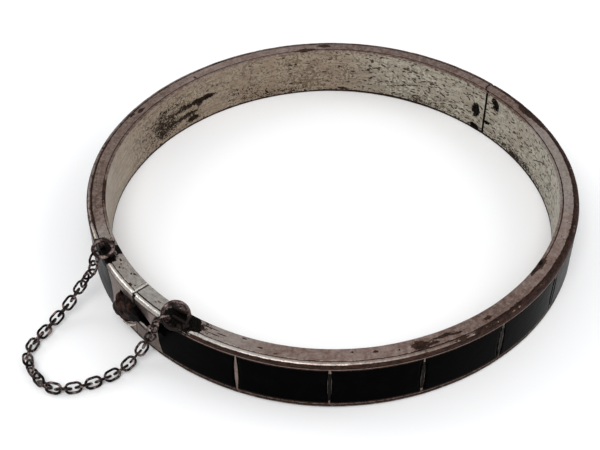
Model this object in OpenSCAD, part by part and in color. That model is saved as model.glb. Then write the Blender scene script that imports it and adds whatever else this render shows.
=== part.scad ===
// Hinged bangle lying on its side: two metal halves with a row of inlaid stones, a pin hinge at +X,
// a spring tongue clasp at -X, and a safety chain from one half to the other.
// Millimetres, +Z up. The origin is the middle of the wrist opening, on the surface it rests on.

/* [Oval plan] */
// Outer radius of the four shoulders, between the flatter middles and ends of the two halves
shoulder_r = 29.2; // [28.8:0.1:29.6]

/* [Band] */
// Height of the band
band_h = 7.3; // [7.2:0.1:8]
// Thickness of the band, from its outer wall to its inner wall
band_t = 2.45; // [2.4:0.05:2.8]
// Rounding of the outer lips
lip_r = 0.45; // [0.3:0.05:0.5]

/* [Stones] */
// Stones in each half
stone_count = 8; // [8:1:8]
// Distance from one divider to the next
stone_pitch = 10.6; // [10.2:0.1:10.8]
// Length of the first and the last stone, with their round ends
end_stone = 11.6; // [11:0.1:11.8]
// Height of the stones
stone_h = 5.6; // [5:0.1:5.8]
// Thickness of the stones
stone_t = 0.6; // [0.4:0.05:0.65]
// Radius of the round ends of the row
row_end_r = 4; // [3.5:0.1:5]
// Width of the metal divider between two stones
divider_w = 0.4; // [0.3:0.05:0.6]
// Plain metal from the clasp to the first stone, front half
front_plain = 3.5; // [3.4:0.1:4]
// Plain metal from the clasp to the first stone, back half
back_plain = 4.6; // [4.6:0.1:5]

/* [Hinge] */
// Distance along the outer wall from the middle of the hinge end to the split
hinge_shift = 0.85; // [0.6:0.05:1]
// Radius of the knuckles
knuckle_r = 1; // [0.9:0.05:1]
// Distance from the outer wall to the middle of the pin
pin_inset = 1.08; // [1.06:0.02:1.1]
// Radius of the pin
pin_r = 0.4; // [0.3:0.05:0.5]

/* [Clasp] */
// Length of the tongue inside the front half
tongue_len = 5.9; // [5.6:0.1:6]
// Height of the slot that the thumb piece slides into
slot_h = 2; // [1.8:0.1:2.2]
// Length of the slot
slot_len = 2.9; // [2.6:0.1:2.9]
// Length of the thumb pad on the back half
pad_len = 4; // [3.6:0.1:4]
// Height of the thumb pad
pad_h = 3.8; // [3.4:0.1:4]
// Distance that the pad stands out of the outer wall
pad_rise = 0.95; // [0.7:0.05:1]
// Angle that the tongue springs open at rest
spring_angle = 3; // [2.5:0.1:3]

/* [Rings and chain] */
// Radius of the ring soldered on the back half, to the middle of its wire
back_ring_r = 1.2; // [1.1:0.05:1.3]
// Radius of the ring soldered on the front half, to the middle of its wire
front_ring_r = 1.52; // [1.4:0.05:1.6]
// Radius of the wire of the soldered rings
ring_wire_r = 0.25; // [0.2:0.01:0.25]
// Radius of the small jump rings, to the middle of their wire
jump_r = 0.92; // [0.92:0.01:0.93]
// Radius of the wire of the jump rings
jump_wire_r = 0.15; // [0.12:0.01:0.15]
// Links in the chain
link_count = 34; // [34:2:34]
// Opening of a link along the chain
link_in_l = 1.48; // [1.46:0.02:1.5]
// Opening of a link across the chain
link_in_w = 0.78; // [0.74:0.02:0.78]
// Radius of the chain's wire
link_wire_r = 0.16; // [0.14:0.005:0.16]

/* [Hidden] */
// Gap between pieces
gap = 0.12;
// Gap between a stone and its pocket
stone_gap = 0.05;
$fn = 96;

// The oval is made of arcs that run into one another. A shoulder ends where the wall faces along JOINT,
// as seen from the clasp or, turned round, from the middle of a half. JOINT is 17 long, so that the
// centres of the arcs are round numbers.
JOINT = [15, 8];
joint_turn = atan2(JOINT.y, JOINT.x);
end_step = 16;
mid_step = 20;
end_r = shoulder_r + end_step * norm(JOINT) / 100;
mid_r = shoulder_r + mid_step * norm(JOINT) / 100;
shoulder_cy = end_step * JOINT.y / 100;
mid_cy = mid_step * JOINT.x / 100 - shoulder_cy;
shoulder_cx = mid_step * JOINT.y / 100;
end_cx = end_step * JOINT.x / 100 - shoulder_cx;

// The front half's outer wall from the clasp to the hinge. Columns: turn at its start, turn at its end,
// radius, centre, direction of the wall at its start, direction at its end. A turn is counted from the
// clasp, where the wall faces -X. The first and the last stretch run on past the half's ends.
STRETCHES = [
    [0, joint_turn, end_r, [end_cx, 0], [-JOINT.x, JOINT.y], [-JOINT.x, -JOINT.y]],
    [joint_turn, 90 - joint_turn, shoulder_r, [-shoulder_cx, -shoulder_cy],
        [-JOINT.x, -JOINT.y], [-JOINT.y, -JOINT.x]],
    [90 - joint_turn, 90 + joint_turn, mid_r, [0, mid_cy], [-JOINT.y, -JOINT.x], [JOINT.y, -JOINT.x]],
    [90 + joint_turn, 180 - joint_turn, shoulder_r, [shoulder_cx, -shoulder_cy],
        [JOINT.y, -JOINT.x], [JOINT.x, -JOINT.y]],
    [180 - joint_turn, 180, end_r, [-end_cx, 0], [JOINT.x, -JOINT.y], [JOINT.x, JOINT.y]]
];
LAST = len(STRETCHES) - 1;

// Length of stretch i, and of all stretches up to the end of stretch i
function stretch_len(i) = STRETCHES[i][2] * (STRETCHES[i][1] - STRETCHES[i][0]) * PI / 180;
function len_to(i) = i < 0 ? 0 : len_to(i - 1) + stretch_len(i);
half_len = len_to(LAST);
hinge_s = half_len - hinge_shift;

// The stretch that holds the point a distance s along the wall, and the wall's turn there
function stretch_at(s, i = 0) = i == LAST || s <= len_to(i) ? i : stretch_at(s, i + 1);
function turn_in(s, i) = STRETCHES[i][0] + (s - len_to(i - 1)) / STRETCHES[i][2] * 180 / PI;
function turn_at(s) = turn_in(s, stretch_at(s));

// Places its children at the outer wall, a distance s from the clasp, with +X out of the wall and +Y
// along it towards the hinge
module at_wall(s) {
    stretch = STRETCHES[stretch_at(s)];
    translate(stretch[3])
        rotate(180 + turn_at(s))
            translate([stretch[2], 0, 0])
                children();
}

// Turn by which a sweep runs past the end of a stretch before it is cut there
overrun = 1;

// Carries a section along the wall. In the section x = 0 is the outer wall, +x is out, and y is height.
module along_wall(from, to) {
    for (i = [stretch_at(from):stretch_at(to)]) {
        stretch = STRETCHES[i];
        start = max(turn_at(from), stretch[0] - (i == 0 ? 90 : overrun));
        end = min(turn_at(to), stretch[1] + (i == LAST ? 90 : overrun));
        translate(stretch[3])
            intersection() {
                rotate_extrude(angle = end - start, start = 180 + start)
                    translate([stretch[2], 0])
                        children();
                translate([0, 0, -band_h])
                    linear_extrude(3 * band_h)
                        polygon([[0, 0], 3 * stretch[4], 3 * stretch[5]]);
            }
    }
}

// A rectangle in the section, from depth d0 to depth d1 under the outer wall and from height z0 to z1
module depth_rect(d0, d1, z0, z1) {
    translate([-d1, z0]) square([d1 - d0, z1 - z0]);
}

// The band's section: square inner edges, and outer edges rounded into lips
module band_section() {
    depth_rect(lip_r, band_t, 0, band_h);
    depth_rect(0, lip_r, lip_r, band_h - lip_r);
    for (z = [lip_r, band_h - lip_r])
        translate([-lip_r, z]) circle(lip_r);
}

// Stones and their pockets

// Place of the edge before stone k, along the wall, for a row that starts at plain
function stone_edge(plain, k) =
    k == 0 ? plain
    : k == stone_count ? plain + 2 * end_stone + (stone_count - 2) * stone_pitch
    : plain + end_stone + (k - 1) * stone_pitch;
mid_z = band_h / 2;

module stone_section(grow) {
    depth_rect(grow > 0 ? -1 : 0, stone_t + grow, mid_z - stone_h / 2 - grow, mid_z + stone_h / 2 + grow);
}

// What rounds the end of a strip of height h whose tip is at s: all that lies outside a circle there.
// side is +1 where the strip runs on towards the hinge.
module end_corners(s, side, r, h, z) {
    reach = r - sqrt(r * r - h * h / 4) + 0.3;
    at_wall(s + side * r)
        translate([-3, 0, z])
            rotate([0, 90, 0])
                linear_extrude(6)
                    difference() {
                        translate([-h, side > 0 ? -r - 1 : r - reach])
                            square([2 * h, 1 + reach]);
                        circle(r);
                    }
}

// Stone k of a row on the front half, or its pocket where grow is more than 0
module stone(plain, k, grow = 0) {
    first = k == 0;
    last = k == stone_count - 1;
    from = stone_edge(plain, k) + (first ? -grow : divider_w / 2 - grow);
    to = stone_edge(plain, k + 1) - (last ? -grow : divider_w / 2 - grow);
    difference() {
        along_wall(from, to) stone_section(grow);
        if (first) end_corners(from, 1, row_end_r, stone_h + 2 * grow, mid_z);
        if (last) end_corners(to, -1, row_end_r, stone_h + 2 * grow, mid_z);
    }
}

module pockets(plain) {
    for (k = [0:stone_count - 1]) stone(plain, k, stone_gap);
}

// Hinge

knuckle_h = band_h / 3;

module at_pin() {
    at_wall(hinge_s) translate([-pin_inset, 0, 0]) children();
}

// Knuckle n of three, from the bottom up
module knuckle(n) {
    low = n == 0 ? 0 : gap / 2;
    high = n == 2 ? 0 : gap / 2;
    at_pin()
        translate([0, 0, n * knuckle_h + low])
            cylinder(r = knuckle_r, h = knuckle_h - low - high);
}

// Room for knuckle n in the other half, open to the outside
module knuckle_room(n) {
    low = n == 0 ? -1 : -gap / 2;
    high = n == 2 ? 1 : gap / 2;
    at_pin()
        translate([0, 0, n * knuckle_h + low]) {
            cylinder(r = knuckle_r + gap, h = knuckle_h - low + high);
            translate([0, -knuckle_r - gap, 0])
                cube([pin_inset + 1, 2 * (knuckle_r + gap), knuckle_h - low + high]);
        }
}

// The pin goes in from below and stays hidden under the top knuckle
pin_cover = 0.8;
module pin_bore() {
    at_pin() translate([0, 0, -1]) cylinder(r = pin_r + 0.05, h = band_h + 1 - pin_cover);
}

module hinge_pin() {
    color("gray")
        at_pin() translate([0, 0, 0.1]) cylinder(r = pin_r, h = band_h - pin_cover - 0.2);
}

// Clasp. Its tongue is a folded strip: a still leaf soldered in the back half, and a spring leaf that
// carries the thumb pad and turns about the fold.

slot_z = 4.3;
slot_r = slot_h / 2;
// Depths under the outer wall, from the outside in
box_top = 0.5;
mouth_top = 1.06;
channel_top = 0.92;
spring_leaf = [1.17, 1.41];
still_leaf = [1.52, 1.82];
box_floor = 1.92;
// Lengths from the split
mouth_wall = 0.5;
box_len = 3;
fold_s = tongue_len - 0.4;
fold_depth = (spring_leaf[0] + spring_leaf[1]) / 2;
// Heights of the box, of the still leaf and of the spring leaf above and below the middle
box_half = 2.95;
still_half = 2.8;
spring_half = 2.2;
// Height of the pad's middle, and depth of the hollow that it is pressed into
pad_z = 3.9;
pad_hollow = 0.6;
pad_gap = 0.15;
nose_len = 1.4;

function wall_point(s, depth) =
    let (a = 180 + turn_at(s))
    [end_cx + (end_r - depth) * cos(a), (end_r - depth) * sin(a), 0];

// The box in the end of the front half: its mouth, the room behind it and the slot in its outer wall
module clasp_room() {
    along_wall(-1, tongue_len + 0.2)
        depth_rect(mouth_top, box_floor, mid_z - box_half, mid_z + box_half);
    along_wall(mouth_wall, tongue_len + 0.2)
        depth_rect(channel_top, mouth_top + 0.1, mid_z - box_half, mid_z + box_half);
    along_wall(mouth_wall, box_len)
        depth_rect(box_top, mouth_top, mid_z - box_half, mid_z + box_half);
    along_wall(-1, slot_len - slot_r)
        depth_rect(-1, mouth_top + 0.1, slot_z - slot_r, slot_z + slot_r);
    at_wall(slot_len - slot_r)
        translate([-box_top - 0.2, 0, slot_z])
            rotate([0, 90, 0])
                cylinder(r = slot_r, h = 2);
}

// The hollow in the end of the back half, under the pad
module pad_room() {
    along_wall(-pad_len - 0.3, 1)
        depth_rect(-1, pad_hollow, pad_z - pad_h / 2 - 0.25, pad_z + pad_h / 2 + 0.25);
}

module tongue() {
    along_wall(-0.8, tongue_len)
        depth_rect(still_leaf[0], still_leaf[1], mid_z - still_half, mid_z + still_half);
}

module thumb_piece() {
    fold = wall_point(fold_s, fold_depth);
    neck_half = slot_r - 0.15;
    pad_r = pad_h / 2;
    pad_end_r = 2.2;
    color("saddlebrown") {
        translate(fold) rotate(spring_angle) translate(-fold) {
            along_wall(mouth_wall + 0.1, fold_s)
                depth_rect(spring_leaf[0], spring_leaf[1], mid_z - spring_half, mid_z + spring_half);
            translate([fold.x, fold.y, mid_z - spring_half])
                cylinder(r = (spring_leaf[1] - spring_leaf[0]) / 2, h = 2 * spring_half);
        }
        // The neck through the slot, and the nose of the pad over it
        along_wall(0.15, 1)
            depth_rect(-pad_gap - 0.1, spring_leaf[0] - 0.1, slot_z - neck_half, slot_z + neck_half);
        along_wall(-0.2, nose_len)
            depth_rect(-pad_rise, -pad_gap, slot_z - neck_half, slot_z + neck_half);
        // The pad, round at its far end
        difference() {
            along_wall(-pad_len, -0.1)
                depth_rect(-pad_rise, -pad_gap, pad_z - pad_r, pad_z + pad_r);
            end_corners(-pad_len, 1, pad_end_r, pad_h, pad_z);
        }
    }
}

// Rings. Each is a round wire loop whose face points along the compass angle az, raised by el.

module wire_ring(centre, az, el, r, wire) {
    translate(centre)
        rotate([0, 90 - el, az])
            rotate_extrude()
                translate([r, 0]) circle(wire);
}

// The ring on the back half lies nearly flat on the band's edge, held by two beads of solder
module back_ring() {
    wire_ring([-29.72, 7.82, 7.92], 250, 77, back_ring_r, ring_wire_r);
    translate([-29.35, 8.8, 7.6]) sphere(0.55);
    translate([-29.3, 6.9, 7.4]) sphere(0.42);
}

// The ring on the front half leans in over the band's edge
module front_ring() {
    wire_ring([-29.7, -6.68, 8.13], 229, 43, front_ring_r, ring_wire_r);
    translate([-29.35, -7.93, 7.25]) sphere(0.5);
    translate([-29.95, -7.6, 7.2]) sphere(0.42);
}

module jump_ring_left() {
    color("dimgray") wire_ring([-31.17, 7.4, 7.64], 286, 0, jump_r, jump_wire_r);
}

module jump_ring_right() {
    color("dimgray") wire_ring([-31.16, -6.1, 8.09], 245, -26, jump_r, jump_wire_r);
}

// The two halves

module front_band() {
    color("silver")
        difference() {
            union() {
                along_wall(gap / 2, hinge_s - gap / 2) band_section();
                knuckle(0);
                knuckle(2);
                front_ring();
            }
            pockets(front_plain);
            knuckle_room(1);
            pin_bore();
            clasp_room();
        }
}

module back_band() {
    color("silver") {
        difference() {
            union() {
                mirror([0, 1, 0])
                    along_wall(gap / 2, half_len + hinge_shift - gap / 2) band_section();
                knuckle(1);
                back_ring();
            }
            mirror([0, 1, 0]) pockets(back_plain);
            knuckle_room(0);
            knuckle_room(2);
            pin_bore();
            pad_room();
        }
        tongue();
    }
}

// Safety chain: oval links along a smooth route from ring to ring, every second one turned by a quarter

// The route's points, from the back half's jump ring over the surface to the front half's
ROUTE = [
    [-31.47, 7.31, 6.78], [-31.88, 7.5, 5.8], [-32.5, 7.95, 4.65], [-33.45, 8.25, 3.4], [-35.05, 8.2, 2.1],
    [-37.2, 7.95, 1.1], [-39.2, 7.4, 0.76], [-41.2, 6.65, 0.72], [-42.55, 5.7, 0.72], [-43.3, 4.4, 0.7],
    [-43.6, 2.9, 0.7], [-43.7, 1.4, 0.7], [-43.4, -0.15, 0.7], [-42.4, -1.45, 0.7], [-40.9, -2.35, 0.7],
    [-39.2, -3, 0.7], [-37.4, -3.4, 0.7], [-35.7, -3.5, 0.76], [-34.3, -3.42, 1.05], [-33.2, -3.4, 1.6],
    [-32.45, -3.5, 2.35], [-32, -3.78, 3.2], [-31.82, -4.2, 4.1], [-31.82, -4.6, 4.95], [-31.95, -5.02, 6.05],
    [-31.6, -5.6, 7.5]
];
SPLINE_STEPS = 12;

// A smooth curve through four points in a row, between the second and the third
function smooth(p, u) =
    0.5 * (2 * p[1] + (p[2] - p[0]) * u + (2 * p[0] - 5 * p[1] + 4 * p[2] - p[3]) * u * u
        + (3 * p[1] - p[0] - 3 * p[2] + p[3]) * u * u * u);
function route_part(i) =
    let (last = len(ROUTE) - 1)
    [ROUTE[max(i - 1, 0)], ROUTE[i], ROUTE[i + 1], ROUTE[min(i + 2, last)]];
CURVE = [
    for (i = [0:len(ROUTE) - 2], j = [0:SPLINE_STEPS - 1]) smooth(route_part(i), j / SPLINE_STEPS),
    ROUTE[len(ROUTE) - 1]
];
// Length along the curve up to each of its points
CURVE_LEN = [
    for (i = 0, d = 0; i < len(CURVE); d = d + norm(CURVE[min(i + 1, len(CURVE) - 1)] - CURVE[i]), i = i + 1) d
];
chain_len = CURVE_LEN[len(CURVE) - 1];
function on_curve(d) =
    [for (axis = [0:2]) lookup(d, [for (i = [0:len(CURVE) - 1]) [CURVE_LEN[i], CURVE[i][axis]]])];

// From a jump ring's wire to the middle of the first link
first_link = link_in_l / 2 - jump_wire_r - 0.13;
link_pitch = (chain_len - 2 * first_link) / (link_count - 1);
function unit(v) = v / norm(v);
function link_place(i) = on_curve(first_link + i * link_pitch);
function link_dir(i) =
    let (d = first_link + i * link_pitch)
    unit(on_curve(d + link_pitch / 2) - on_curve(d - link_pitch / 2));
// A cross direction for each link, handed on from link to link so that the chain has no twist of its own
CROSS_DIRS = [
    for (i = 0, v = unit(cross(link_dir(0), [0, 0, 1])); i < link_count;
        i = i + 1, v = unit(v - (v * link_dir(i)) * link_dir(i))) v
];
// Turn of a link's width from its cross direction: first square to the left jump ring, then leaning so
// that the chain lies evenly, and at last square to the right jump ring. Every second link stands across.
ROLLS = [[0, 28], [5, -39], [11, -44], [18, -18], [28, -6], [33, -52]];
function link_roll(i) = lookup(i, ROLLS) + (i % 2 == 0 ? 0 : 90);

// Sides around a link and around its wire
LINK_SIDES = 14;
WIRE_SIDES = 6;
link_end_r = link_in_w / 2 + link_wire_r;
link_end_x = link_in_l / 2 + link_wire_r - link_end_r;
LINK_POINTS = [
    for (i = [0:LINK_SIDES - 1], j = [0:WIRE_SIDES - 1])
        let (
            right = i < LINK_SIDES / 2,
            a = -90 + (right ? i : i - 1) * 180 / (LINK_SIDES / 2 - 1),
            b = j * 360 / WIRE_SIDES,
            r = link_end_r + link_wire_r * cos(b)
        )
        [(right ? link_end_x : -link_end_x) + r * cos(a), r * sin(a), link_wire_r * sin(b)]
];
function link_corner(i, j) = (i % LINK_SIDES) * WIRE_SIDES + j % WIRE_SIDES;
LINK_FACES = [
    for (i = [0:LINK_SIDES - 1], j = [0:WIRE_SIDES - 1], half = [0, 1])
        half == 0
            ? [link_corner(i, j), link_corner(i, j + 1), link_corner(i + 1, j + 1)]
            : [link_corner(i, j), link_corner(i + 1, j + 1), link_corner(i + 1, j)]
];

module chain_link(i) {
    middle = link_place(i);
    t = link_dir(i);
    roll = link_roll(i);
    w = CROSS_DIRS[i] * cos(roll) + cross(CROSS_DIRS[i], t) * sin(roll);
    n = cross(t, w);
    multmatrix([
        [t.x, w.x, n.x, middle.x],
        [t.y, w.y, n.y, middle.y],
        [t.z, w.z, n.z, middle.z],
        [0, 0, 0, 1]
    ])
        polyhedron(points = LINK_POINTS, faces = LINK_FACES);
}

module safety_chain() {
    color("dimgray")
        for (i = [0:link_count - 1]) chain_link(i);
}

module front_stone(k) {
    color("black") stone(front_plain, k - 1);
}

module back_stone(k) {
    color("black") mirror([0, 1, 0]) stone(back_plain, k - 1);
}

front_band();
back_band();
hinge_pin();
thumb_piece();
jump_ring_left();
jump_ring_right();
safety_chain();
for (k = [1:stone_count]) {
    front_stone(k);
    back_stone(k);
}
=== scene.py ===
"""Looks of the hinged bangle: swept silver halves, inlaid black stones, a worn thumb piece, rings and chain.

Lengths in this script are millimetres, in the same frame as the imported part, and MM turns them into
metres where a mesh is written. Along the band a place is given by s, the distance from the clasp along
the outer wall, by depth, the distance under the outer wall, and by z, the height.
"""

import math

import bpy
import numpy as np
from mathutils import Matrix, Vector


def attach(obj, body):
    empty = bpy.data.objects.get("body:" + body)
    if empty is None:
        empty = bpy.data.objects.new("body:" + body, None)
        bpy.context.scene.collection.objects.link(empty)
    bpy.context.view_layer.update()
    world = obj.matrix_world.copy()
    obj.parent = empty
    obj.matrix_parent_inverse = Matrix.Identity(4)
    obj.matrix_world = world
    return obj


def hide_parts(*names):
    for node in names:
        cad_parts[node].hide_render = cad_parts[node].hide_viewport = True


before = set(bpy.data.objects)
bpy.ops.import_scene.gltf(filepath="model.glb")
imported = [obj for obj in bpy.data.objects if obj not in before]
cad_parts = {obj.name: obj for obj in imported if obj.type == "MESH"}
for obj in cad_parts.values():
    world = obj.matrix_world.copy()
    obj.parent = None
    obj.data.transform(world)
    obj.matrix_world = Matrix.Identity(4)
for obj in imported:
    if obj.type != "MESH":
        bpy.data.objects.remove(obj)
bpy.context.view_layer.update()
MM = 0.001
FRONT, BACK = -1, 1

# Sizes of the part

SHOULDER_R = 29.2
BAND_H, BAND_T, LIP_R = 7.3, 2.45, 0.45
GAP = 0.12
STONE_COUNT, STONE_PITCH, END_STONE = 8, 10.6, 11.6
STONE_H, STONE_T, ROW_END_R, STONE_GAP = 5.6, 0.6, 4.0, 0.05
PLAIN = {FRONT: 3.5, BACK: 4.6}
HINGE_SHIFT, KNUCKLE_R, PIN_INSET, PIN_R, PIN_COVER = 0.85, 1.0, 1.08, 0.4, 0.8
MID_Z = BAND_H / 2
LEAF_Z, STILL_LEAF_Z, BOX_Z = ((MID_Z - half, MID_Z + half) for half in (2.2, 2.8, 2.95))
# Fine lines: depth of the grooves beside the outer and the inner edge, height of the line under the lip,
# and s of the groove across the back half's end
LIP_GROOVE, INNER_GROOVE, LINE_Z, END_GROOVE = 0.655, 2.03, 6.74, 0.55
# The upper lip: how deep it reaches, and the height of its lower edge
LIP_DEPTH, LIP_Z = 0.62, 6.86
# Where the inner wall's looks begin in depth, and where they give way to the top face's in height
INNER_FROM, TOP_FROM = (2.14, 2.24), (7.12, 7.2)
# The soldered rings: centre, the way they face, and radius
FRONT_RING = (-29.7, -6.68, 8.13), 229, 43, 1.52
BACK_RING = (-29.72, 7.82, 7.92), 250, 77, 1.2
RING_WIRE = 0.25

# The oval plan: arcs that run into one another, from the clasp to the hinge

JOINT = math.atan2(8, 15)
QUARTER = math.pi / 2
START = np.array([0, JOINT, QUARTER - JOINT, QUARTER + JOINT, math.pi - JOINT])
STOP = np.append(START[1:], math.pi)
RADIUS = SHOULDER_R + np.array([2.72, 0, 3.4, 0, 2.72])
CENTRE = np.array([[0.8, 0], [-1.6, -1.28], [0, 1.72], [1.6, -1.28], [-0.8, 0]])
BEFORE = np.append(0, np.cumsum((STOP - START) * RADIUS))
HALF = BEFORE[-1]
HINGE_S = HALF - HINGE_SHIFT
END = {FRONT: HINGE_S - GAP / 2, BACK: HALF + HINGE_SHIFT - GAP / 2}


def wall(s, depth, z, side):
    """Points of one half: centre + (radius - depth) * (cos, sin) of half a turn plus the wall's turn at s.

    The back half is the mirror image of the front half.
    """
    s, depth, z = np.broadcast_arrays(*(np.asarray(a, float) for a in (s, depth, z)))
    k = np.clip(np.searchsorted(BEFORE, s, "right") - 1, 0, len(START) - 1)
    turn = math.pi + START[k] + (s - BEFORE[k]) / RADIUS[k]
    r = RADIUS[k] - depth
    return np.stack([CENTRE[k, 0] + r * np.cos(turn), -side * (CENTRE[k, 1] + r * np.sin(turn)), z], -1)


def unwall(points, side):
    """The s and the depth of points: on each arc s is the turn times the radius, and depth is what the
    distance from the arc's centre lacks to the radius."""
    x, y = points[:, 0], -side * points[:, 1]
    s, depth = np.zeros(len(points)), np.zeros(len(points))
    todo = np.ones(len(points), bool)
    for k in range(len(START)):
        dx, dy = x - CENTRE[k, 0], y - CENTRE[k, 1]
        turn = (np.arctan2(dy, dx) - QUARTER) % (2 * math.pi) - QUARTER
        here = todo & ((turn <= STOP[k]) | (k == len(START) - 1))
        s[here] = (BEFORE[k] + (turn - START[k]) * RADIUS[k])[here]
        depth[here] = (RADIUS[k] - np.hypot(dx, dy))[here]
        todo &= ~here
    return s, depth


# Shapes as whole arrays


def ease(x, low, high):
    """Smooth step: 0 below low, 1 above high, and 3 t^2 - 2 t^3 between them."""
    t = np.clip((x - low) / (high - low), 0, 1)
    return t * t * (3 - 2 * t)


def ridge(x, middle, width):
    """Bell curve of height 1 about middle."""
    return np.exp(-(((x - middle) / width) ** 2))


def grain(points, cell, seed):
    """Smooth random values from -1 to 1: a table is read at the corners of a lattice of cubes with side
    cell, and blended inside each cube by the smooth step of the three coordinates."""
    table = np.random.default_rng(seed).uniform(-1, 1, 8192)
    q = points / cell
    low = np.floor(q).astype(np.int64)
    f = q - low
    f = f * f * (3 - 2 * f)
    total = np.zeros(points.shape[:-1])
    for corner in np.ndindex(2, 2, 2):
        at = low + corner
        key = (at[..., 0] * 73856093) ^ (at[..., 1] * 19349663) ^ (at[..., 2] * 83492791)
        total += table[key % len(table)] * np.where(corner, f, 1 - f).prod(-1)
    return total


def tube(loops, ring=False):
    """Skin over a row of closed loops, as points and triangles: two triangles between each pair of
    neighbours, and a fan over the first and the last loop unless the row is a ring itself."""
    n, m = loops.shape[:2]
    i, j = np.arange(n if ring else n - 1)[:, None], np.arange(m)
    a, b = i * m + j, i * m + (j + 1) % m
    d, c = (i + 1) % n * m + j, (i + 1) % n * m + (j + 1) % m
    corners = [np.stack([a, b, c], -1).reshape(-1, 3), np.stack([a, c, d], -1).reshape(-1, 3)]
    points = loops.reshape(-1, 3)
    if not ring:
        points = np.vstack([points, loops[0].mean(0), loops[-1].mean(0)])
        first, last = np.full(m, n * m), np.full(m, n * m + 1)
        end = (n - 1) * m + j
        corners.append(np.stack([first, (j + 1) % m, j], -1))
        corners.append(np.stack([last, end, end - j + (j + 1) % m], -1))
    return outward(points, np.vstack(corners))


def outward(points, corners):
    """The same skin with its faces outwards: turned over where its signed volume is below 0."""
    a, b, c = (points[corners[:, k]] for k in range(3))
    volume = np.einsum("ij,ij->i", a, np.cross(b, c)).sum()
    return points, corners if volume > 0 else corners[:, ::-1]


def joined(skins):
    """Several skins as one."""
    starts = np.cumsum([0] + [len(points) for points, _ in skins[:-1]])
    return (
        np.vstack([points for points, _ in skins]),
        np.vstack([corners + start for (_, corners), start in zip(skins, starts)]),
    )


def make_object(name, skin, sharp=35):
    """A mesh object from a skin, smooth where faces meet at less than sharp degrees."""
    points, corners = skin
    mesh = bpy.data.meshes.new(name)
    mesh.from_pydata((points * MM).tolist(), [], corners.tolist())
    mesh.shade_smooth()
    mesh.set_sharp_from_angle(angle=math.radians(sharp))
    thing = bpy.data.objects.new(name, mesh)
    bpy.context.scene.collection.objects.link(thing)
    return thing


def place_on(mesh):
    """The points of a mesh in millimetres."""
    points = np.empty(len(mesh.vertices) * 3)
    mesh.vertices.foreach_get("co", points)
    return points.reshape(-1, 3) / MM


def paint(mesh, **values):
    """Keeps one number per point and name on the mesh, for its finish to read."""
    for name, value in values.items():
        mesh.attributes.new(name, "FLOAT", "POINT").data.foreach_set("value", value.astype(np.float32))


def refinish(thing, finish, start):
    """Gives the faces from number start on a second finish."""
    thing.data.materials.append(finish)
    index = np.zeros(len(thing.data.polygons), np.int32)
    index[start:] = 1
    thing.data.polygons.foreach_set("material_index", index)


WELD = 2e-4


def carve(skin, steps):
    """Adds closed tools to a closed skin or cuts them out of it, one after the other."""
    body = make_object("carving", skin)
    tools = [make_object("tool", tool) for _, tool in steps]
    for (operation, _), tool in zip(steps, tools):
        modifier = body.modifiers.new("step", "BOOLEAN")
        modifier.object, modifier.operation, modifier.solver = tool, operation, "MANIFOLD"
    bpy.context.view_layer.update()
    made = body.evaluated_get(bpy.context.evaluated_depsgraph_get()).to_mesh()
    made.calc_loop_triangles()
    points, corners = place_on(made), np.empty(len(made.loop_triangles) * 3, np.int32)
    made.loop_triangles.foreach_get("vertices", corners)
    for thing in [body, *tools]:
        bpy.data.meshes.remove(thing.data)
    return points, corners.reshape(-1, 3)


def welded(skin):
    """The same skin with points closer than WELD made one, without the slivers between them."""
    points, corners = skin
    _, first, same = np.unique(np.round(points / WELD), axis=0, return_index=True, return_inverse=True)
    corners = same.ravel()[corners]
    corners = corners[(corners != np.roll(corners, 1, 1)).all(1)]
    _, kind, count = np.unique(np.sort(corners, 1), axis=0, return_inverse=True, return_counts=True)
    used, corners = np.unique(corners[count[kind.ravel()] == 1], return_inverse=True)
    return points[first][used], corners.reshape(-1, 3)


def swept_box(s, depths, heights, side):
    """A rectangle of the section carried along the wall through the places s."""
    corners = np.array([[depths[k], heights[m]] for k, m in ((0, 0), (0, 1), (1, 1), (1, 0))])
    return tube(wall(np.asarray(s, float)[:, None], corners[:, 0], corners[:, 1], side))


def through_wall(outline, depths, side):
    """An outline on the wall, given as s and z, carried straight down through the depths."""
    return tube(wall(outline[:, 0], np.asarray(depths, float)[:, None], outline[:, 1], side))


def rounded(polygon, times=2):
    """A polygon with its corners cut: each side keeps its points at a quarter and at three quarters."""
    p = np.asarray(polygon, float)
    for _ in range(times):
        after = np.roll(p, -1, 0)
        p = np.stack([0.75 * p + 0.25 * after, 0.25 * p + 0.75 * after], 1).reshape(-1, 2)
    return p


def upright(plan, heights):
    """An outline in plan carried straight up through the heights."""
    return tube(np.array([np.column_stack([plan, np.full(len(plan), z)]) for z in heights]))


def angles(count):
    """Even steps of a full turn."""
    return np.linspace(0, 2 * math.pi, count, endpoint=False)


def circle(count):
    return np.column_stack([np.cos(angles(count)), np.sin(angles(count))])


# Stones


def stone_edge(side, k):
    """Place along the wall of the edge before stone k, or after the last one."""
    if k == 0:
        return PLAIN[side]
    if k == STONE_COUNT:
        return PLAIN[side] + 2 * END_STONE + (STONE_COUNT - 2) * STONE_PITCH
    return PLAIN[side] + END_STONE + (k - 1) * STONE_PITCH


def end_bulge(z):
    """How far the round end of the row lies behind its tip: r - sqrt(r^2 - (z - middle)^2)."""
    up = np.clip(z - MID_Z, -STONE_H / 2, STONE_H / 2)
    return ROW_END_R - np.sqrt(ROW_END_R**2 - up**2)


def chipping(z, seed):
    """Small nicks along the edge of a stone, as a shift in s."""
    return 0.07 * grain(np.stack([z, z * 0, z * 0 + 3.3], -1), 0.55, seed)


def divider_half(z):
    """Half the width of the silver between two stones, worn to a lens: wide at mid height."""
    t = np.clip(2 * (z - MID_Z) / STONE_H, -1, 1)
    return 0.14 + 0.33 * (1 - t * t) ** 0.7


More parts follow.
